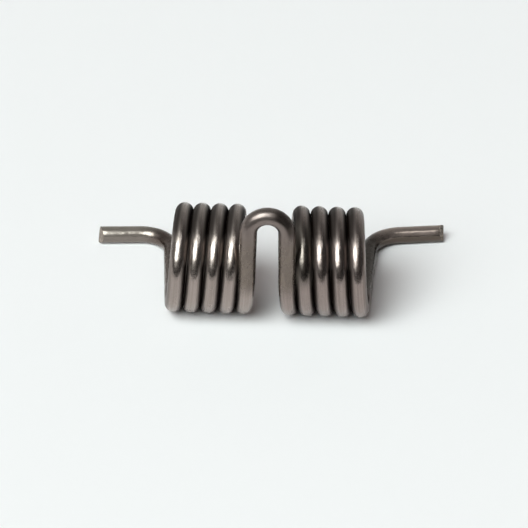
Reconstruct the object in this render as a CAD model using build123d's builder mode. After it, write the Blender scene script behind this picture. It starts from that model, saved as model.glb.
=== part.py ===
"""Double torsion spring: one length of round spring wire, wound into two coils.

The coils share one axis and are wound as mirror images of each other. A tall loop joins them
at the front, and an end leg leaves the bottom of each coil, runs back and turns outward.

Frame: +X along the coil axis, +Y back towards the end legs, +Z up. The origin is on the coil
axis, midway between the coils. The coils and the end legs rest on one plane below the axis.
Lengths are in millimetres and angles in degrees.
"""

from build123d import *
import os
from math import atan, cos, degrees, pi, radians, sin

# --- Wire and coils ---
wire_diameter = 2.5
coil_inside_diameter = 11.0
quarter_turns = 17  # in each coil, from the foot of the loop to the end leg

# --- Middle loop, standing up the front of the coils ---
loop_height = 11.2  # from the coil axis to the centre of the wire at the top
loop_bend_radius = 2.75  # of the wire's centre line, as are the other bend radii
loop_leg_lean = 1.2  # of each leg from the vertical, towards the other
loop_root_radius = 12.0  # eases each leg into the slope of its coil

# --- Each side: the gap between its turns, then its end leg: the run back to the corner, the
# turn outward there, its bend radius and the length from the corner to the end ---
left_side = dict(turn_gap=0.05, run=17.95, turn=90.7, bend_radius=4.7, end=10.9)
right_side = dict(turn_gap=0.09, run=19.0, turn=78.0, bend_radius=5.4, end=11.15)

# --- Sheared ends: two cuts through the middle of each, as the angle from square and the
# height that the cut faces, where 0 is to the front and 90 is straight up ---
left_cuts = ((7.0, 90.0), (25.0, 19.0))
right_cuts = ((8.0, 0.0), (34.0, 44.0))
shear_allowance = 0.5  # left beyond each end for its cuts
sheared_edge_radius = 0.12

# --- Derived sizes and planes ---
wire_radius = wire_diameter / 2
coil_radius = coil_inside_diameter / 2 + wire_radius  # of the wire's centre line
loop_plane = Plane.XZ.offset(coil_radius)
rest_plane = Plane.XY.offset(-coil_radius)
up = Vector(0, 0, 1)


def outward(angle):
    """Unit vector on the rest plane: straight back, turned outward by the angle."""
    return Vector(sin(radians(angle)), cos(radians(angle)), 0)


def half_centre_line(turn_gap, run, turn, bend_radius, end):
    """Centre line of the right half of the spring, from the top of the loop to the wire's end."""
    pitch = wire_diameter + turn_gap
    slope = degrees(atan(pitch / (2 * pi * coil_radius)))
    root_height = loop_root_radius * (sin(radians(slope)) - sin(radians(loop_leg_lean)))

    # Half of the arch, the leg down from it, and the slight curve into the coil's slope.
    with BuildLine(loop_plane) as loop:
        arch = JernArc((0, loop_height), (1, 0), loop_bend_radius, loop_leg_lean - 90)
        leg_length = ((arch @ 1).Z - root_height) / cos(radians(loop_leg_lean))
        leg = Line(arch @ 1, arch @ 1 + (arch % 1) * leg_length)
        root = JernArc(leg @ 1, leg % 1, loop_root_radius, slope - loop_leg_lean)

    # The coil: down the front, under, up the back and over, a quarter turn at a time.
    coil_start = (root @ 1).X
    with BuildLine() as coil:
        for quarter in range(quarter_turns):
            centre = (coil_start + quarter * pitch / 4, 0, 0)
            helix = Helix(pitch, pitch / 4, coil_radius, centre, (1, 0, 0), mode=Mode.PRIVATE)
            add(helix.rotate(Axis.X, 90 * (quarter + 1)))

    # The end leg: back from under the coil, round its bend and straight on to the end.
    start = Vector(coil_start + quarter_turns * pitch / 4, 0, -coil_radius)
    corner = start + outward(slope) * run
    tip = corner + outward(slope + turn) * (end + shear_allowance)
    with BuildLine(rest_plane) as end_leg:
        FilletPolyline(start, corner, tip, radius=bend_radius)

    return loop.edges() + coil.edges() + end_leg.edges()


right_half = half_centre_line(**right_side)
left_half = [edge.mirror(Plane.YZ) for edge in half_centre_line(**left_side)]
centre_line = Wire(left_half + right_half)

with BuildPart() as spring_wire:
    # The wire: one round section swept along the whole centre line.
    with BuildSketch(Plane(origin=centre_line @ 0, z_dir=centre_line % 0)):
        Circle(wire_radius)
    sweep(path=centre_line)

    # Its two ends, as the shear left them.
    wire_ends = ((centre_line @ 0, centre_line % 0 * -1), (centre_line @ 1, centre_line % 1))
    for allowance_end, outgoing in wire_ends:
        cuts = left_cuts if allowance_end.X < 0 else right_cuts
        across = outgoing.cross(up)
        front = across if across.Y < 0 else -across
        for angle, height in cuts:
            facing = front * cos(radians(height)) + up * sin(radians(height))
            normal = outgoing * cos(radians(angle)) + facing * sin(radians(angle))
            with BuildSketch(Plane(origin=allowance_end - outgoing * shear_allowance, z_dir=normal)):
                Rectangle(2 * wire_diameter, 2 * wire_diameter)
            extrude(amount=wire_diameter, mode=Mode.SUBTRACT)
    cut_faces = spring_wire.faces().filter_by(GeomType.PLANE)
    fillet(cut_faces.edges(), sheared_edge_radius)

spring_wire.part.label = "spring_wire"
os.makedirs("parts", exist_ok=True)
export_step(spring_wire.part, "parts/spring_wire.step")
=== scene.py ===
"""A double torsion spring in bare drawn steel wire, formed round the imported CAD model.

The wire former below feeds, bends and winds a round section the way a spring coiler does, so
the mesh and its markings follow the wire from one sheared end to the other. Named lengths are
in millimetres and angles in degrees; the frame itself is in metres.
"""

from math import atan, atan2, ceil, cos, degrees, hypot, pi, radians, sin, tan
from types import SimpleNamespace

import bmesh
import bpy
from mathutils import Matrix, Vector


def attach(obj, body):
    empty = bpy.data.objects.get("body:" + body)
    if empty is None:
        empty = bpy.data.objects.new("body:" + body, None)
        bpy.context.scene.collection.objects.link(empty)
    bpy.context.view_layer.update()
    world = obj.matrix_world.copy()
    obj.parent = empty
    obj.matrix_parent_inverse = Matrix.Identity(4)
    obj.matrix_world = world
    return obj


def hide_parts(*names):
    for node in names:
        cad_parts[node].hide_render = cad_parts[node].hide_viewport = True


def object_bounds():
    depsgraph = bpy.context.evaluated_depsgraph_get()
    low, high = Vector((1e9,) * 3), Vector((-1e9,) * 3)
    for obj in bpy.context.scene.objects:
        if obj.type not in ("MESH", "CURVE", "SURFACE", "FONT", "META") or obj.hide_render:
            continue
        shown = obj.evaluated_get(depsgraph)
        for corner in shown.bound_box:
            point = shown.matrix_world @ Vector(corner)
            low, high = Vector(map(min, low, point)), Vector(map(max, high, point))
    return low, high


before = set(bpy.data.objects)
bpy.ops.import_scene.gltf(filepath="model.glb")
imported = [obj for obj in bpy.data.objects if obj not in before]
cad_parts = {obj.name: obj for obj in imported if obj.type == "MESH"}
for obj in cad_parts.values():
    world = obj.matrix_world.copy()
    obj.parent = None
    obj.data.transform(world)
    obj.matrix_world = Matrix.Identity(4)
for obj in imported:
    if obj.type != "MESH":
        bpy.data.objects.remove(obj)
cad_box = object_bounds()
bpy.context.scene.view_settings.view_transform = "Standard"

MM = 0.001

# --- The spring's sizes, as in its source ---
WIRE_DIAMETER = 2.5
COIL_INSIDE_DIAMETER = 11.0
TURNS = 17 / 4
LOOP_HEIGHT = 11.2
LOOP_BEND_RADIUS = 2.75
LOOP_LEG_LEAN = 1.2
LOOP_ROOT_RADIUS = 12.0
LEFT_SIDE = dict(turn_gap=0.05, run=17.95, turn=90.7, bend_radius=4.7, end=10.9)
RIGHT_SIDE = dict(turn_gap=0.09, run=19.0, turn=78.0, bend_radius=5.4, end=11.15)
# Each cut is the first angle off square, and faces the second angle up from the front.
LEFT_CUTS = ((7.0, 90.0), (25.0, 19.0))
RIGHT_CUTS = ((8.0, 0.0), (34.0, 44.0))
SHEARED_EDGE_RADIUS = 0.12

WIRE_RADIUS = WIRE_DIAMETER / 2
COIL_RADIUS = COIL_INSIDE_DIAMETER / 2 + WIRE_RADIUS
FLOOR = -(COIL_RADIUS + WIRE_RADIUS)

# --- Places along the wire, from the top of the loop ---
RUBBED_TOP = 3.0  # to each side, where the loop was bent round its pin
LOOP_FOOT = 12.0  # where the coil starts
FIRST_BACK = 38.0  # just past the back of the first turn
MIDWAY = 100.0
LAST_TURN = 150.0
COIL_END = 193.0
LEG_BEND = 209.0
LEG = 214.5  # straight again, up to the sheared end

# --- How the turns settle against each other ---
TURN_LEAN = 0.19  # off an even winding, at most
LEAN_PEAK = 31.0  # up from the front of the coil, where a turn leans most
LEAN_START = 6.0  # along the wire; the lean grows from here
LEAN_FULL_LEFT, LEAN_FULL_RIGHT = 34.0, 90.0  # up to here
LEAN_FADE = 10.0  # and is gone at the end of the coil, over this length

# --- How finely the mesh is drawn ---
SIDES = 48  # round the wire
STEPS_IN_A_TURN = 72
BEND_STEP = 5.0
STRAIGHT_STEP = 0.6
TIP_LENGTH = 1.6  # before each end and again past it, in one step that both cuts cross
EDGE_STEPS = 3  # round each sheared edge
ON_CUT = 1e-6  # a corner this near a cut counts as on it
SAME_CORNER = 1e-4  # corners this near each other are one

X, Y, Z = Vector((1, 0, 0)), Vector((0, 1, 0)), Vector((0, 0, 1))

# The sockets of a Mix node: its inputs for numbers and for colours, and its output for colours.
NUMBER_A, NUMBER_B, COLOUR_A, COLOUR_B, COLOUR_OUT = 2, 3, 6, 7, 2


def linear(hex_colour):
    """An sRGB hex colour as the linear RGBA that a shader takes."""
    channels = [int(hex_colour[i : i + 2], 16) / 255 for i in (1, 3, 5)]
    return [c / 12.92 if c <= 0.04045 else ((c + 0.055) / 1.055) ** 2.4 for c in channels] + [1.0]


def smooth_step(value, start, end):
    """0 at the start, 1 at the end, and an S-curve between them."""
    t = min(max((value - start) / (end - start), 0.0), 1.0)
    return t * t * (3 - 2 * t)


def direction(azimuth, elevation):
    """The way that is so far to the right of the front and so far up."""
    aside, up = radians(azimuth), radians(elevation)
    return Vector((sin(aside) * cos(up), -cos(aside) * cos(up), sin(up)))


def add_node(tree, kind, inputs=None, **settings):
    """A new node, with its properties set and its inputs linked to sockets or given values."""
    node = tree.nodes.new(kind)
    for name, value in settings.items():
        setattr(node, name, value)
    for name, value in (inputs or {}).items():
        socket = node.inputs[name]
        if isinstance(value, bpy.types.NodeSocket):
            tree.links.new(value, socket)
        else:
            socket.default_value = value
    return node


def empty_tree(owner):
    """The node tree of a material, lamp or world, with nothing in it yet."""
    owner.use_nodes = True
    owner.node_tree.nodes.clear()
    return owner.node_tree


def add_object(name, data):
    """A new object at the origin."""
    placed = bpy.data.objects.new(name, data)
    bpy.context.scene.collection.objects.link(placed)
    return placed


# --- Camera, looking down on the spring's front from half a metre away ---

PICTURE_WIDTH = 528  # pixels
MM_PER_PIXEL = 0.1453  # at the spring
SPRING_RIGHT, SPRING_UP = 3.9, 4.35  # pixels from the picture's middle to the coils' axis
CAMERA_DISTANCE = 508.55
CAMERA_AZIMUTH, CAMERA_ELEVATION, CAMERA_ROLL = 1.0, 31.0, 1.2
SENSOR_WIDTH = 36.0
NEAREST, FURTHEST = 10, 20000

towards_camera = direction(CAMERA_AZIMUTH, CAMERA_ELEVATION)
level_right = Z.cross(towards_camera).normalized()
level_up = towards_camera.cross(level_right)
roll = radians(CAMERA_ROLL)
camera_right = level_right * cos(roll) + level_up * sin(roll)
camera_up = towards_camera.cross(camera_right)
aim = -(camera_right * SPRING_RIGHT + camera_up * SPRING_UP) * MM_PER_PIXEL

camera_data = bpy.data.cameras.new("camera")
camera_data.sensor_width = SENSOR_WIDTH
camera_data.lens = SENSOR_WIDTH * CAMERA_DISTANCE / (PICTURE_WIDTH * MM_PER_PIXEL)
camera_data.clip_start = NEAREST * MM
camera_data.clip_end = FURTHEST * MM
camera = add_object("camera", camera_data)
camera_turn = Matrix((camera_right, camera_up, towards_camera)).transposed().to_4x4()
camera_place = (aim + towards_camera * CAMERA_DISTANCE) * MM
camera.matrix_world = Matrix.Translation(camera_place) @ camera_turn
bpy.context.scene.camera = camera


# --- The wire former ---


class Former:
    """Carries a ring of wire section along, leaving the wire's surface behind it.

    `at` is the middle of the section, `heading` the way it is going and `fed` the wire used so
    far. A mirrored one makes the left half from the same commands.
    """

    def __init__(self, mesh, drawn, ring, at, heading, mirrored):
        self.mesh, self.drawn, self.ring = mesh, drawn, ring
        self.at, self.heading, self.mirrored = at.copy(), heading.copy(), mirrored
        self.fed = 0.0

    def carry(self, steps, length, centre=Vector(), axis=X, angle=0.0, advance=Vector()):
        """Spins the section about an axis through the centre while it advances, in even steps."""
        made_before = len(self.mesh.verts)
        # A mirror image turns the other way about the mirrored axis.
        place = Vector((-1, 1, 1)) if self.mirrored else Vector((1, 1, 1))
        sense = -place if self.mirrored else place
        made = bmesh.ops.spin(
            self.mesh,
            geom=self.ring,
            cent=centre * place * MM,
            axis=axis * sense,
            dvec=advance * place * MM / steps,
            angle=radians(angle),
            steps=steps,
            use_merge=False,
            use_duplicate=False,
        )
        self.ring = [g for g in made["geom_last"] if isinstance(g, bmesh.types.BMEdge)]
        # Each point keeps its place in the section and gains its distance along the wire.
        self.mesh.verts.ensure_lookup_table()
        for count, vert in enumerate(self.mesh.verts[made_before:]):
            along = self.fed + length * (1 + count // SIDES) / steps
            section = vert[self.drawn]
            vert[self.drawn] = Vector((-along if self.mirrored else along, *section.yz))
        turned = Matrix.Rotation(radians(angle), 3, axis)
        self.at = turned @ (self.at - centre) + centre + advance
        self.heading = turned @ self.heading
        self.fed += length

    def feed(self, length, step=STRAIGHT_STEP):
        """Straight on."""
        self.carry(ceil(length / step), length, advance=self.heading * length)

    def bend(self, angle, radius, axis):
        """Round a bend of that radius, turning about the axis by the right-hand rule."""
        centre = self.at + axis.cross(self.heading) * (radius if angle > 0 else -radius)
        length = radians(abs(angle)) * radius
        self.carry(ceil(abs(angle) / BEND_STEP), length, centre, axis, angle)

    def wind(self, turns, pitch):
        """Turns of a coil about X, each one pitch along it."""
        length = turns * hypot(pitch, 2 * pi * COIL_RADIUS)
        self.carry(
            round(turns * STEPS_IN_A_TURN), length, angle=turns * 360, advance=X * pitch * turns
        )


def form_half(former, turn_gap, run, turn, bend_radius, end):
    """Half of the spring, from the top of its loop to just past the end of its leg."""
    pitch = WIRE_DIAMETER + turn_gap
    slope = degrees(atan(pitch / (2 * pi * COIL_RADIUS)))
    # The arch, the leg down the front and the slight curve into the slope of the coil.
    former.bend(90 - LOOP_LEG_LEAN, LOOP_BEND_RADIUS, Y)
    root_rise = LOOP_ROOT_RADIUS * (sin(radians(slope)) - sin(radians(LOOP_LEG_LEAN)))
    former.feed((former.at.z - root_rise) / cos(radians(LOOP_LEG_LEAN)))
    former.bend(LOOP_LEG_LEAN - slope, LOOP_ROOT_RADIUS, Y)
    # The coil, down the front first and the same way round each time.
    former.wind(TURNS, pitch)
    # The leg: back, round its bend and straight on past where it is cut.
    setback = bend_radius * tan(radians(turn / 2))
    former.feed(run - setback)
    former.bend(-turn, bend_radius, Z)
    former.feed(end - setback - TIP_LENGTH)
    tip = former.at + former.heading * TIP_LENGTH
    former.feed(2 * TIP_LENGTH, step=2 * TIP_LENGTH)
    return tip, former.heading


def settle(mesh, drawn):
    """Leans the turns towards the loop at the front of the coil, and away from it at the back.

    Closed turns are pressed against each other as they are wound, so they don't lie evenly.
    """
    for vert in mesh.verts:
        fed, side = abs(vert[drawn].x), 1 if vert[drawn].x > 0 else -1
        full_by = LEAN_FULL_RIGHT if side > 0 else LEAN_FULL_LEFT
        settled = smooth_step(fed, LEAN_START, full_by)
        settled *= smooth_step(fed, COIL_END, COIL_END - LEAN_FADE)
        round_coil = atan2(vert.co.z, -vert.co.y) - radians(LEAN_PEAK)
        vert.co.x -= side * TURN_LEAN * MM * cos(round_coil) * settled


def shear(mesh, tip, heading, cuts):
    """Cuts an end off at its two angles and rounds the edges; the cut faces are the second slot."""
    across = heading.cross(Z)
    front = across if across.y < 0 else -across
    for angle, height in cuts:
        facing = front * cos(radians(height)) + Z * sin(radians(height))
        normal = heading * cos(radians(angle)) + facing * sin(radians(angle))
        near = {v for v in mesh.verts if (v.co / MM - tip).length < 2 * TIP_LENGTH + WIRE_RADIUS}
        geom = [v for v in mesh.verts if v in near]
        geom += [e for e in mesh.edges if not near.isdisjoint(e.verts)]
        geom += [f for f in mesh.faces if not near.isdisjoint(f.verts)]
        bmesh.ops.bisect_plane(
            mesh, geom=geom, dist=ON_CUT * MM, plane_co=tip * MM, plane_no=normal, clear_outer=True
        )
        rim = [
            e for e in mesh.edges
            if e.is_boundary and (e.verts[0].co / MM - tip).length < 2 * WIRE_DIAMETER
        ]
        bmesh.ops.contextual_create(mesh, geom=rim)
    # Only the cut faces have this many corners.
    cut_faces = {
        f for f in mesh.faces
        if len(f.verts) > SIDES / 4 and (f.calc_center_median() / MM - tip).length < WIRE_DIAMETER
    }
    for face in cut_faces:
        face.material_index = 1
    bmesh.ops.bevel(
        mesh,
        geom=[e for e in mesh.edges if not cut_faces.isdisjoint(e.link_faces)],
        offset=SHEARED_EDGE_RADIUS * MM,
        offset_type="OFFSET",
        segments=EDGE_STEPS,
        profile=0.5,
        affect="EDGES",
        material=-1,
        clamp_overlap=True,
    )
    bmesh.ops.remove_doubles(mesh, verts=mesh.verts, dist=SAME_CORNER * MM)


def form_spring():
    """The whole wire, as a mesh that knows how each point of it was drawn.

    The attribute "drawn" holds the distance along the wire, negative on the left half, and the
    place in the section: Y points into the bore, or up on an end leg, and Z away from the loop.
    """
    mesh = bmesh.new()
    drawn = mesh.verts.layers.float_vector.new("drawn")
    loop_top = Vector((0, -COIL_RADIUS, LOOP_HEIGHT))
    bmesh.ops.create_circle(
        mesh,
        segments=SIDES,
        radius=WIRE_RADIUS * MM,
        matrix=Matrix.Translation(loop_top * MM) @ Matrix.Rotation(radians(90), 4, "Y"),
    )
    for vert in mesh.verts:
        vert[drawn] = Vector((0, *(vert.co / MM - loop_top).yz))
    first_ring = list(mesh.edges)
    ends = []
    for mirrored, side, cuts in ((False, RIGHT_SIDE, RIGHT_CUTS), (True, LEFT_SIDE, LEFT_CUTS)):
        former = Former(mesh, drawn, first_ring, loop_top, X, mirrored)
        tip, heading = form_half(former, **side)
        flip = Vector((-1, 1, 1)) if mirrored else Vector((1, 1, 1))
        ends.append((tip * flip, heading * flip, cuts))
    settle(mesh, drawn)
    for end in ends:
        shear(mesh, *end)
    # The drawn mesh stays inside the CAD model's box.
    for vert in mesh.verts:
        vert.co = [min(max(c, low), high) for c, low, high in zip(vert.co, *cad_box)]
    bmesh.ops.recalc_face_normals(mesh, faces=mesh.faces)
    for face in mesh.faces:
        face.smooth = True
    data = bpy.data.meshes.new("wire")
    mesh.to_mesh(data)
    mesh.free()
    return data


wire = add_object("wire", form_spring())
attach(wire, "root")
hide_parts("spring_wire")

# --- Bare drawn spring steel ---
#
# The wire is cold drawn, which leaves fine lines along it, and has its grey coat of phosphate and
# drawing soap where nothing has touched it. The coiling tools burnish the turns to a dull mirror.
# The creases where turns lie against each other are darkened with painted shade.

# Each pair is a finish at its darker and its paler places.
# The left coil's finish is paler than the right's: painted light, for the brighter floor that the
# left coil reflects.
BURNISHED_LEFT, BURNISHED_RIGHT = ("#988c85", "#a99c96"), ("#8b7e78", "#9d8f8a")
LOOP_COAT = ("#6f645d", "#7c7067")
LEFT_LEG_COAT, RIGHT_LEG_COAT = ("#8a8078", "#988e86"), ("#a2928a", "#b09f97")
# The legs' undersides are darker with painted shade.
LEFT_LEG_SHADED_UNDERSIDE, RIGHT_LEG_SHADED_UNDERSIDE = "#7d736c", "#61564e"
LOOP_TOP_RUBBED = "#80746f"
# The runs behind the coils: a dark colour that is painted shade, darker on the right.
RUN_SHADE_LEFT, RUN_SHADE_RIGHT = "#685b55", "#473f3a"
# Painted shade for the creases between the turns.
CREASE_SHADE = "#1f1815"
SCUFF = "#6a625c"
# A painted dark reflection for the loop's right shoulder.
LOOP_DARK_REFLECTION = "#352d28"
CREASE_ROUGHNESS = 0.7
LOOP_DARK_REFLECTION_STRENGTH = 0.75
LINE_DEPTH, DENT_DEPTH = 0.009, 0.06


def places_on_wire(tree):
    """Sockets that say where a point lies.

    The first six are measures: the mesh's "drawn" attribute, its three parts, the distance along
    the wire and the height. The others are 1 in the place that they are named after.
    """
    drawn = add_node(tree, "ShaderNodeAttribute", attribute_name="drawn").outputs["Vector"]
    section = add_node(tree, "ShaderNodeSeparateXYZ", {"Vector": drawn}).outputs
    stands = add_node(tree, "ShaderNodeTexCoord").outputs["Object"]
    along = add_node(tree, "ShaderNodeMath", {0: section["X"]}, operation="ABSOLUTE").outputs[0]
    past_loop = add_node(
        tree,
        "ShaderNodeMapRange",
        {"Value": along, "From Min": LOOP_FOOT, "From Max": LOOP_FOOT + 3},
        interpolation_type="SMOOTHSTEP",
    ).outputs["Result"]
    before_leg = add_node(
        tree,
        "ShaderNodeMapRange",
        {"Value": along, "From Min": COIL_END + 3, "From Max": COIL_END},
        interpolation_type="SMOOTHSTEP",
    ).outputs["Result"]
    coiled = add_node(tree, "ShaderNodeMath", {0: past_loop, 1: before_leg}, operation="MULTIPLY")
    loop_top = add_node(
        tree,
        "ShaderNodeMapRange",
        {"Value": along, "From Min": RUBBED_TOP + 5, "From Max": RUBBED_TOP},
        interpolation_type="SMOOTHSTEP",
    )
    on_leg = add_node(
        tree,
        "ShaderNodeMapRange",
        {"Value": along, "From Min": LEG_BEND, "From Max": LEG},
        interpolation_type="SMOOTHSTEP",
    )
    # The lower side of an end leg, which painted shade darkens.
    underneath = add_node(
        tree,
        "ShaderNodeMapRange",
        {"Value": section["Y"], "From Min": 0.65, "From Max": 0.15},
        interpolation_type="SMOOTHSTEP",
    )
    on_right = add_node(tree, "ShaderNodeMath", {0: section["X"], 1: 0.0}, operation="GREATER_THAN")
    nearer_leg = add_node(tree, "ShaderNodeMath", {0: along, 1: MIDWAY}, operation="GREATER_THAN")
    return SimpleNamespace(
        drawn=drawn,
        signed=section["X"],
        to_bore=section["Y"],
        outward=section["Z"],
        along=along,
        height=add_node(tree, "ShaderNodeSeparateXYZ", {"Vector": stands}).outputs["Z"],
        past_loop=past_loop,
        coiled=coiled.outputs[0],
        loop_top=loop_top.outputs["Result"],
        on_leg=on_leg.outputs["Result"],
        underneath=underneath.outputs["Result"],
        on_right=on_right.outputs[0],
        nearer_leg=nearer_leg.outputs[0],
    )


def shade_between_turns(tree, at):
    """Painted shade in the creases: the outward flank, less so on the last turn, and the inward one
    past the first.

    The painted shade reaches further out of them over the top of a coil than it does below.
    """
    crease_edge = add_node(
        tree,
        "ShaderNodeMapRange",
        {
            "Value": at.height,
            "From Min": 6.8 * MM,
            "From Max": 5.0 * MM,
            "To Min": 0.34,
            "To Max": 0.58,
        },
        interpolation_type="SMOOTHSTEP",
    ).outputs["Result"]
    outward_crease = add_node(
        tree,
        "ShaderNodeMapRange",
        {"Value": at.outward, "From Min": crease_edge, "From Max": 1.16},
        interpolation_type="SMOOTHSTEP",
    ).outputs["Result"]
    has_outer_turn = add_node(
        tree,
        "ShaderNodeMapRange",
        {
            "Value": at.along,
            "From Min": LAST_TURN,
            "From Max": LAST_TURN + 8,
            "To Min": 1.0,
            "To Max": 0.4,
        },
        interpolation_type="SMOOTHSTEP",
    ).outputs["Result"]
    inward_crease = add_node(
        tree,
        "ShaderNodeMapRange",
        {"Value": at.outward, "From Min": -0.34, "From Max": -1.12},
        interpolation_type="SMOOTHSTEP",
    ).outputs["Result"]
    has_inner_turn = add_node(
        tree,
        "ShaderNodeMapRange",
        {"Value": at.along, "From Min": FIRST_BACK, "From Max": FIRST_BACK + 6},
        interpolation_type="SMOOTHSTEP",
    ).outputs["Result"]
    outer = add_node(
        tree, "ShaderNodeMath", {0: outward_crease, 1: has_outer_turn}, operation="MULTIPLY"
    ).outputs[0]
    inner = add_node(
        tree, "ShaderNodeMath", {0: inward_crease, 1: has_inner_turn}, operation="MULTIPLY"
    ).outputs[0]
    crease = add_node(tree, "ShaderNodeMath", {0: outer, 1: inner}, operation="MAXIMUM").outputs[0]
    # Halfway up the coil, where the highlights light the creases, their painted shade is halved.
    bounce_start = add_node(
        tree,
        "ShaderNodeMapRange",
        {"Value": at.height, "From Min": 2.4 * MM, "From Max": 3.6 * MM},
        interpolation_type="SMOOTHSTEP",
    ).outputs["Result"]
    bounce_end = add_node(
        tree,
        "ShaderNodeMapRange",
        {"Value": at.height, "From Min": 6.4 * MM, "From Max": 5.4 * MM},
        interpolation_type="SMOOTHSTEP",
    ).outputs["Result"]
    bounce_lit = add_node(
        tree, "ShaderNodeMath", {0: bounce_start, 1: bounce_end}, operation="MULTIPLY"
    ).outputs[0]
    shade_kept = add_node(
        tree, "ShaderNodeMapRange", {"Value": bounce_lit, "To Min": 1.0, "To Max": 0.5}
    ).outputs["Result"]
    return add_node(tree, "ShaderNodeMath", {0: crease, 1: shade_kept}, operation="MULTIPLY").outputs[0]


def shade_over_the_top(tree, at):
    """Over the top of both coils, painted shade darkens the left flank of each turn."""
    over_top = add_node(
        tree,
        "ShaderNodeMapRange",
        {"Value": at.height, "From Min": 5.2 * MM, "From Max": 6.9 * MM, "To Max": 0.85},
        interpolation_type="SMOOTHSTEP",
    ).outputs["Result"]
    # Outward is to the left on the left coil, and to the right on the other.
    sense = add_node(
        tree, "ShaderNodeMapRange", {"Value": at.on_right, "To Min": 1.0, "To Max": -1.0}
    ).outputs["Result"]
    leftward = add_node(
        tree, "ShaderNodeMath", {0: at.outward, 1: sense}, operation="MULTIPLY"
    ).outputs[0]
    left_flank = add_node(
        tree,
        "ShaderNodeMapRange",
        {"Value": leftward, "From Min": -0.15, "From Max": 0.55},
        interpolation_type="SMOOTHSTEP",
    ).outputs["Result"]
    return add_node(
        tree, "ShaderNodeMath", {0: over_top, 1: left_flank}, operation="MULTIPLY"
    ).outputs[0]


def shade_on_coils(tree, at):
    """How much painted shade there is at each place on the coils."""
    # The bore is darkened most of the way too.
    bore = add_node(
        tree,
        "ShaderNodeMapRange",
        {"Value": at.to_bore, "From Min": 0.3, "From Max": 0.9, "To Max": 0.85},
        interpolation_type="SMOOTHSTEP",
    ).outputs["Result"]
    left = shade_between_turns(tree, at)
    for place in (shade_over_the_top(tree, at), bore):
        left = add_node(tree, "ShaderNodeMath", {0: left, 1: place}, operation="MAXIMUM").outputs[0]
    return add_node(tree, "ShaderNodeMath", {0: left, 1: at.coiled}, operation="MULTIPLY").outputs[0]


def uneven(tree, at, shift, scale, detail, roughness):
    """Unevenness that follows the wire, with its scale per millimetre along and across it."""
    place = add_node(
        tree, "ShaderNodeMapping", {"Vector": at.drawn, "Location": (shift,) * 3, "Scale": scale}
    ).outputs["Vector"]
    return add_node(
        tree,
        "ShaderNodeTexNoise",
        {"Vector": place, "Scale": 1.0, "Detail": detail, "Roughness": roughness},
    ).outputs["Fac"]


def burnished_colour(tree, at, lines):
    """The burnished turns, slightly paler on the left coil: painted light, for the brighter floor
    that it reflects.
    """
    depth = add_node(
        tree, "ShaderNodeMapRange", {"Value": lines, "From Min": 0.3, "From Max": 0.7}
    ).outputs["Result"]
    left, right = [
        add_node(
            tree,
            "ShaderNodeMix",
            {"Factor": depth, COLOUR_A: linear(darker), COLOUR_B: linear(paler)},
            data_type="RGBA",
        ).outputs[COLOUR_OUT]
        for darker, paler in (BURNISHED_LEFT, BURNISHED_RIGHT)
    ]
    return add_node(
        tree,
        "ShaderNodeMix",
        {"Factor": at.on_right, COLOUR_A: left, COLOUR_B: right},
        data_type="RGBA",
    ).outputs[COLOUR_OUT]


def coat_colour(tree, at, patches):
    """The coat, palest on top of the end legs and browner on the loop; the legs' undersides are
    darker, which is painted shade.

    It is thinner over the top of the loop. The straight runs behind the coils are nearly clean of it,
    and their dark colour is painted shade, darker on the right.
    """
    depth = add_node(
        tree, "ShaderNodeMapRange", {"Value": patches, "From Min": 0.35, "From Max": 0.65}
    ).outputs["Result"]
    loop, left_leg, right_leg = [
        add_node(
            tree,
            "ShaderNodeMix",
            {"Factor": depth, COLOUR_A: linear(darker), COLOUR_B: linear(paler)},
            data_type="RGBA",
        ).outputs[COLOUR_OUT]
        for darker, paler in (LOOP_COAT, LEFT_LEG_COAT, RIGHT_LEG_COAT)
    ]
    # Each goes from the first colour to the second one where its factor is 1.
    loop, left_leg, right_leg, run_shade = [
        add_node(
            tree,
            "ShaderNodeMix",
            {"Factor": factor, COLOUR_A: first, COLOUR_B: linear(second)},
            data_type="RGBA",
        ).outputs[COLOUR_OUT]
        for factor, first, second in (
            (at.loop_top, loop, LOOP_TOP_RUBBED),
            # Painted shade under the legs.
            (at.underneath, left_leg, LEFT_LEG_SHADED_UNDERSIDE),
            (at.underneath, right_leg, RIGHT_LEG_SHADED_UNDERSIDE),
            # Painted shade on the runs, darker on the right.
            (at.on_right, linear(RUN_SHADE_LEFT), RUN_SHADE_RIGHT),
        )
    ]
    leg = add_node(
        tree,
        "ShaderNodeMix",
        {"Factor": at.on_right, COLOUR_A: left_leg, COLOUR_B: right_leg},
        data_type="RGBA",
    ).outputs[COLOUR_OUT]
    leg_side = add_node(
        tree,
        "ShaderNodeMix",
        {"Factor": at.on_leg, COLOUR_A: run_shade, COLOUR_B: leg},
        data_type="RGBA",
    ).outputs[COLOUR_OUT]
    return add_node(
        tree,
        "ShaderNodeMix",
        {"Factor": at.nearer_leg, COLOUR_A: loop, COLOUR_B: leg_side},
        data_type="RGBA",
    ).outputs[COLOUR_OUT]


def scuff(tree, at):
    """A patch of coat is left on the first turn of the right coil, halfway up its front."""
    start = add_node(
        tree,
        "ShaderNodeMapRange",
        {"Value": at.signed, "From Min": 45.0, "From Max": 48.5},
        interpolation_type="SMOOTHSTEP",
    ).outputs["Result"]
    end = add_node(
        tree,
        "ShaderNodeMapRange",
        {"Value": at.signed, "From Min": 56.0, "From Max": 53.0},
        interpolation_type="SMOOTHSTEP",
    ).outputs["Result"]
    return add_node(tree, "ShaderNodeMath", {0: start, 1: end}, operation="MULTIPLY").outputs[0]


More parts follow.
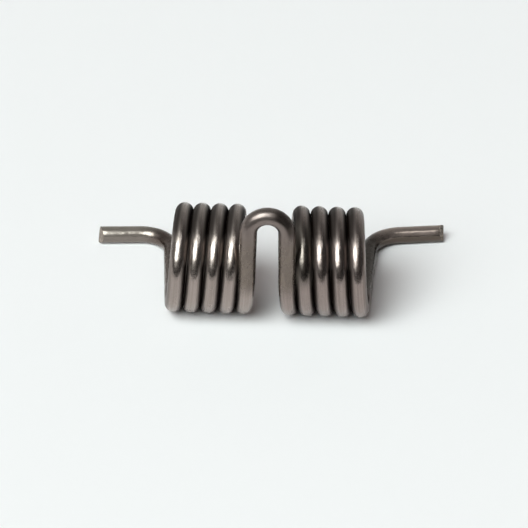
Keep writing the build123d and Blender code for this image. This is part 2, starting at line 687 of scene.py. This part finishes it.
def dark_reflection_on_loop(tree, at):
    """A painted dark reflection on the right shoulder of the loop, along its upper side."""
    start = add_node(
        tree,
        "ShaderNodeMapRange",
        {"Value": at.signed, "From Min": 0.3, "From Max": 1.4},
        interpolation_type="SMOOTHSTEP",
    ).outputs["Result"]
    end = add_node(
        tree,
        "ShaderNodeMapRange",
        {"Value": at.signed, "From Min": 5.6, "From Max": 3.6},
        interpolation_type="SMOOTHSTEP",
    ).outputs["Result"]
    upper_side = add_node(
        tree,
        "ShaderNodeMapRange",
        {"Value": at.outward, "From Min": 0.0, "From Max": 0.45, "To Max": LOOP_DARK_REFLECTION_STRENGTH},
        interpolation_type="SMOOTHSTEP",
    ).outputs["Result"]
    strength = start
    for limit in (end, upper_side):
        strength = add_node(
            tree, "ShaderNodeMath", {0: strength, 1: limit}, operation="MULTIPLY"
        ).outputs[0]
    return strength


def steel_roughness(tree, at, patches, crease):
    """A burnished turn is a dull mirror; the coat is duller still, and dullest in the creases."""
    burnished, coat = [
        add_node(
            tree,
            "ShaderNodeMapRange",
            {"Value": patches, "From Min": 0.3, "From Max": 0.7, "To Min": low, "To Max": high},
        ).outputs["Result"]
        for low, high in ((0.22, 0.29), (0.22, 0.32))
    ]
    # It is smoother on the legs, and rougher over the top of the loop.
    for place, factor in ((at.on_leg, 0.8), (at.loop_top, 1.15)):
        change = add_node(
            tree, "ShaderNodeMapRange", {"Value": place, "To Min": 1.0, "To Max": factor}
        ).outputs["Result"]
        coat = add_node(tree, "ShaderNodeMath", {0: coat, 1: change}, operation="MULTIPLY").outputs[0]
    roughness = add_node(
        tree, "ShaderNodeMix", {"Factor": at.coiled, NUMBER_A: coat, NUMBER_B: burnished}
    ).outputs[0]
    return add_node(
        tree, "ShaderNodeMix", {"Factor": crease, NUMBER_A: roughness, NUMBER_B: CREASE_ROUGHNESS}
    ).outputs[0]


def bare_metal(tree, at):
    """The share of bare metal.

    The coat hides a quarter of it on the loop, less on the loop's top and on the right leg, and
    more on the left leg.
    """
    loop = add_node(
        tree, "ShaderNodeMapRange", {"Value": at.loop_top, "To Min": 0.75, "To Max": 0.85}
    ).outputs["Result"]
    leg = add_node(
        tree, "ShaderNodeMapRange", {"Value": at.on_right, "To Min": 0.6, "To Max": 0.82}
    ).outputs["Result"]
    loop_side = add_node(
        tree, "ShaderNodeMix", {"Factor": at.past_loop, NUMBER_A: loop, NUMBER_B: 1.0}
    ).outputs[0]
    leg_side = add_node(
        tree, "ShaderNodeMix", {"Factor": at.on_leg, NUMBER_A: 1.0, NUMBER_B: leg}
    ).outputs[0]
    return add_node(
        tree, "ShaderNodeMix", {"Factor": at.nearer_leg, NUMBER_A: loop_side, NUMBER_B: leg_side}
    ).outputs[0]


def drawn_steel():
    """The wire's surface."""
    steel = bpy.data.materials.new("drawn_spring_steel")
    tree = empty_tree(steel)
    at = places_on_wire(tree)
    # Drawing lines are 0.01 to 0.02 mm apart; they are drawn ten times as coarse, so that they show.
    lines = uneven(tree, at, shift=3.0, scale=(0.12, 6.0, 6.0), detail=1.0, roughness=0.5)
    # The coat and the burnishing are uneven over a millimetre or two.
    patches = uneven(tree, at, shift=11.0, scale=(0.45, 0.9, 0.9), detail=4.0, roughness=0.6)
    # The coiling tools leave it faintly dented every millimetre.
    dents = uneven(tree, at, shift=5.0, scale=(0.9, 1.1, 1.1), detail=1.0, roughness=0.5)

    # Painted shade: in the creases, in the bore and on the left flanks over the top of the coils.
    crease = shade_on_coils(tree, at)
    colour = coat_colour(tree, at, patches)
    for factor, over in (
        (at.coiled, burnished_colour(tree, at, lines)),
        # Painted shade in the creases.
        (crease, linear(CREASE_SHADE)),
        (scuff(tree, at), linear(SCUFF)),
        # A painted dark reflection on the loop's right shoulder.
        (dark_reflection_on_loop(tree, at), linear(LOOP_DARK_REFLECTION)),
    ):
        colour = add_node(
            tree,
            "ShaderNodeMix",
            {"Factor": factor, COLOUR_A: colour, COLOUR_B: over},
            data_type="RGBA",
        ).outputs[COLOUR_OUT]

    # The lines and the dents catch the light too.
    lined = add_node(
        tree, "ShaderNodeBump", {"Height": lines, "Strength": 1.0, "Distance": LINE_DEPTH * MM}
    ).outputs["Normal"]
    dented = add_node(
        tree,
        "ShaderNodeBump",
        {"Height": dents, "Strength": 1.0, "Distance": DENT_DEPTH * MM, "Normal": lined},
    ).outputs["Normal"]
    shader = add_node(
        tree,
        "ShaderNodeBsdfPrincipled",
        {
            "Base Color": colour,
            "Metallic": bare_metal(tree, at),
            "Roughness": steel_roughness(tree, at, patches, crease),
            "Normal": dented,
        },
    )
    add_node(tree, "ShaderNodeOutputMaterial", {"Surface": shader.outputs["BSDF"]})
    return steel


# --- Sheared spring steel ---
#
# The cropping blades burnish part of each cut and tear the rest. The left end came off cleanly,
# and the right one is bright in places and rough and nearly black in others.

CUT_BURNISHED = "#a8998c"
TORN_LEFT, TORN_RIGHT = "#958a81", "#33291f"
GRAIN = 0.303  # across
TEAR_DEPTH = 0.08


def sheared_steel():
    """The faces of the two sheared ends."""
    steel = bpy.data.materials.new("sheared_spring_steel")
    tree = empty_tree(steel)
    place = add_node(tree, "ShaderNodeTexCoord").outputs["Object"]
    grains = add_node(
        tree,
        "ShaderNodeTexNoise",
        {"Vector": place, "Scale": 1 / (GRAIN * MM), "Detail": 3.0, "Roughness": 0.6},
    ).outputs["Fac"]
    torn = add_node(
        tree,
        "ShaderNodeMapRange",
        {"Value": grains, "From Min": 0.38, "From Max": 0.54},
        interpolation_type="SMOOTHSTEP",
    ).outputs["Result"]
    across_spring = add_node(tree, "ShaderNodeSeparateXYZ", {"Vector": place}).outputs["X"]
    on_right = add_node(
        tree, "ShaderNodeMath", {0: across_spring, 1: 0.0}, operation="GREATER_THAN"
    ).outputs[0]
    torn_colour = add_node(
        tree,
        "ShaderNodeMix",
        {"Factor": on_right, COLOUR_A: linear(TORN_LEFT), COLOUR_B: linear(TORN_RIGHT)},
        data_type="RGBA",
    ).outputs[COLOUR_OUT]
    colour = add_node(
        tree,
        "ShaderNodeMix",
        {"Factor": torn, COLOUR_A: linear(CUT_BURNISHED), COLOUR_B: torn_colour},
        data_type="RGBA",
    ).outputs[COLOUR_OUT]
    roughness = add_node(
        tree, "ShaderNodeMapRange", {"Value": torn, "To Min": 0.25, "To Max": 0.5}
    ).outputs["Result"]
    tears = add_node(
        tree, "ShaderNodeBump", {"Height": grains, "Strength": 1.0, "Distance": TEAR_DEPTH * MM}
    ).outputs["Normal"]
    shader = add_node(
        tree,
        "ShaderNodeBsdfPrincipled",
        {"Base Color": colour, "Metallic": 1.0, "Roughness": roughness, "Normal": tears},
    )
    add_node(tree, "ShaderNodeOutputMaterial", {"Surface": shader.outputs["BSDF"]})
    return steel


wire.data.materials.append(drawn_steel())
wire.data.materials.append(sheared_steel())

# --- The table: a sheet of white card, and a black felt cloth in front ---

CARD_COLOUR, CARD_SIZE = "#f7f5f6", 1200.0
FELT_COLOUR, FELT_WIDTH, FELT_DEPTH = "#303030", 1100.0, 520.0
FELT_THICKNESS = 0.5
FELT_EDGE = -48.0  # in front of the coils' axis


def sheet_on_table(name, material_name, colour, centre, width, depth):
    """A flat matt sheet that lies under or by the spring; it is not part of it."""
    flat = bmesh.new()
    bmesh.ops.create_grid(
        flat,
        x_segments=1,
        y_segments=1,
        size=0.5,
        matrix=Matrix.Translation(centre * MM) @ Matrix.Diagonal((width * MM, depth * MM, 1, 1)),
    )
    flat_data = bpy.data.meshes.new(name)
    flat.to_mesh(flat_data)
    flat.free()
    matt = bpy.data.materials.new(material_name)
    tree = empty_tree(matt)
    diffuse = add_node(tree, "ShaderNodeBsdfDiffuse", {"Color": linear(colour)})
    add_node(tree, "ShaderNodeOutputMaterial", {"Surface": diffuse.outputs["BSDF"]})
    flat_data.materials.append(matt)
    placed = add_object(name, flat_data)
    return placed


sheet_on_table("floor", "white_card", CARD_COLOUR, Vector((0, 0, FLOOR)), CARD_SIZE, CARD_SIZE)

# The cloth gives the metal the dark horizon of the room; only reflections show it.
felt_centre = Vector((0, FELT_EDGE - FELT_DEPTH / 2, FLOOR + FELT_THICKNESS))
cloth = sheet_on_table(
    "black_cloth", "black_felt", FELT_COLOUR, felt_centre, FELT_WIDTH, FELT_DEPTH
)
cloth.visible_camera = False
cloth.visible_diffuse = False
cloth.visible_shadow = False

# --- The studio: a dark room in front, a pale wall behind, and two soft lamps ---

# How bright it is from the front horizon at 0, over the top, to the back horizon at 1.
ROOM = (
    (0.0, 0.045), (0.03, 0.07), (0.08, 0.085), (0.14, 0.2), (0.48, 0.2), (0.59, 0.19),
    (0.67, 0.22), (0.74, 0.35), (0.84, 0.47), (0.94, 0.6), (1.0, 0.65),
)
OVERHEAD = 0.5
ROOM_TINT, WALL_TINT = (1.0, 0.965, 0.935), (0.96, 1.0, 0.985)
FRONT_RIGHT_LEVEL = 0.35
# The room is big and gives the floor little light, a warm one, so the shadows stay deep.
ROOM_LIGHT_ON_FLOOR, ROOM_TINT_ON_FLOOR = 0.4, (1.35, 0.95, 0.88, 1.0)

LAMP_COLOUR = "#f5fffe"
LAMP_DISTANCE = 4000.0
LAMP_HOT_PART = 0.2  # of its radius; it fades from there to its rim


def front_right(tree, way):
    """1 towards the front on the right, where the room is darker."""
    ahead = add_node(
        tree,
        "ShaderNodeMapRange",
        {"Value": way["Y"], "From Min": 0.35, "From Max": -0.05},
        interpolation_type="SMOOTHSTEP",
    ).outputs["Result"]
    to_right = add_node(
        tree,
        "ShaderNodeMapRange",
        {"Value": way["X"], "From Min": 0.1, "From Max": 0.45},
        interpolation_type="SMOOTHSTEP",
    ).outputs["Result"]
    return add_node(tree, "ShaderNodeMath", {0: ahead, 1: to_right}, operation="MULTIPLY").outputs[0]


def studio():
    """The room round the table."""
    world = bpy.data.worlds.new("studio")
    tree = empty_tree(world)
    coordinates = add_node(tree, "ShaderNodeTexCoord").outputs["Generated"]
    way = add_node(tree, "ShaderNodeSeparateXYZ", {"Vector": coordinates}).outputs
    forward = add_node(
        tree, "ShaderNodeMath", {0: way["Y"], 1: -1.0}, operation="MULTIPLY"
    ).outputs[0]
    over = add_node(tree, "ShaderNodeMath", {0: way["Z"], 1: forward}, operation="ARCTAN2").outputs[0]
    share = add_node(tree, "ShaderNodeMath", {0: over, 1: pi}, operation="DIVIDE").outputs[0]
    ramp = add_node(tree, "ShaderNodeValToRGB", {"Fac": share})
    stops = ramp.color_ramp.elements
    while len(stops) < len(ROOM):
        stops.new(1.0)
    for stop, (position, level) in zip(stops, ROOM):
        stop.position = position
        tint = WALL_TINT if position > OVERHEAD else ROOM_TINT
        stop.color = (*(level * part for part in tint), 1)

    on_floor = add_node(tree, "ShaderNodeLightPath").outputs["Is Diffuse Ray"]
    colour = add_node(
        tree,
        "ShaderNodeMix",
        {"Factor": on_floor, COLOUR_A: ramp.outputs["Color"], COLOUR_B: ROOM_TINT_ON_FLOOR},
        data_type="RGBA",
        blend_type="MULTIPLY",
    ).outputs[COLOUR_OUT]
    strength, side_level = [
        add_node(
            tree, "ShaderNodeMapRange", {"Value": place, "To Min": 1.0, "To Max": level}
        ).outputs["Result"]
        for place, level in (
            (on_floor, ROOM_LIGHT_ON_FLOOR),
            (front_right(tree, way), FRONT_RIGHT_LEVEL),
        )
    ]
    strength = add_node(
        tree, "ShaderNodeMath", {0: strength, 1: side_level}, operation="MULTIPLY"
    ).outputs[0]
    background = add_node(tree, "ShaderNodeBackground", {"Color": colour, "Strength": strength})
    add_node(tree, "ShaderNodeOutputWorld", {"Surface": background.outputs["Background"]})
    return world


def softbox(name, azimuth, elevation, size, radiance):
    """A round lamp aimed at the spring, brightest over its middle."""
    lamp = bpy.data.lights.new(name, "AREA")
    lamp.shape = "DISK"
    lamp.size = size * MM
    area = pi / 4 * lamp.size**2
    lamp.energy = radiance * pi * area
    tree = empty_tree(lamp)
    over_lamp = add_node(tree, "ShaderNodeNewGeometry").outputs["Parametric"]
    # From 0 in the middle to 0.5 at the rim.
    from_middle = add_node(
        tree, "ShaderNodeVectorMath", {0: over_lamp, 1: (0.5, 0.5, 0.0)}, operation="DISTANCE"
    ).outputs["Value"]
    level = add_node(
        tree,
        "ShaderNodeMapRange",
        {"Value": from_middle, "From Min": 0.5, "From Max": 0.5 * LAMP_HOT_PART},
        interpolation_type="SMOOTHSTEP",
    ).outputs["Result"]
    glow = add_node(tree, "ShaderNodeEmission", {"Color": linear(LAMP_COLOUR), "Strength": level})
    add_node(tree, "ShaderNodeOutputLight", {"Surface": glow.outputs["Emission"]})
    placed = add_object(name, lamp)
    away = direction(azimuth, elevation)
    facing = (-away).to_track_quat("-Z", "Y").to_matrix().to_4x4()
    placed.matrix_world = Matrix.Translation(away * LAMP_DISTANCE * MM) @ facing
    placed.visible_camera = False


bpy.context.scene.world = studio()
softbox("softbox", azimuth=-33.0, elevation=45.5, size=4950.0, radiance=9.7)
softbox("small_softbox", azimuth=28.0, elevation=66.0, size=1700.0, radiance=2.4)
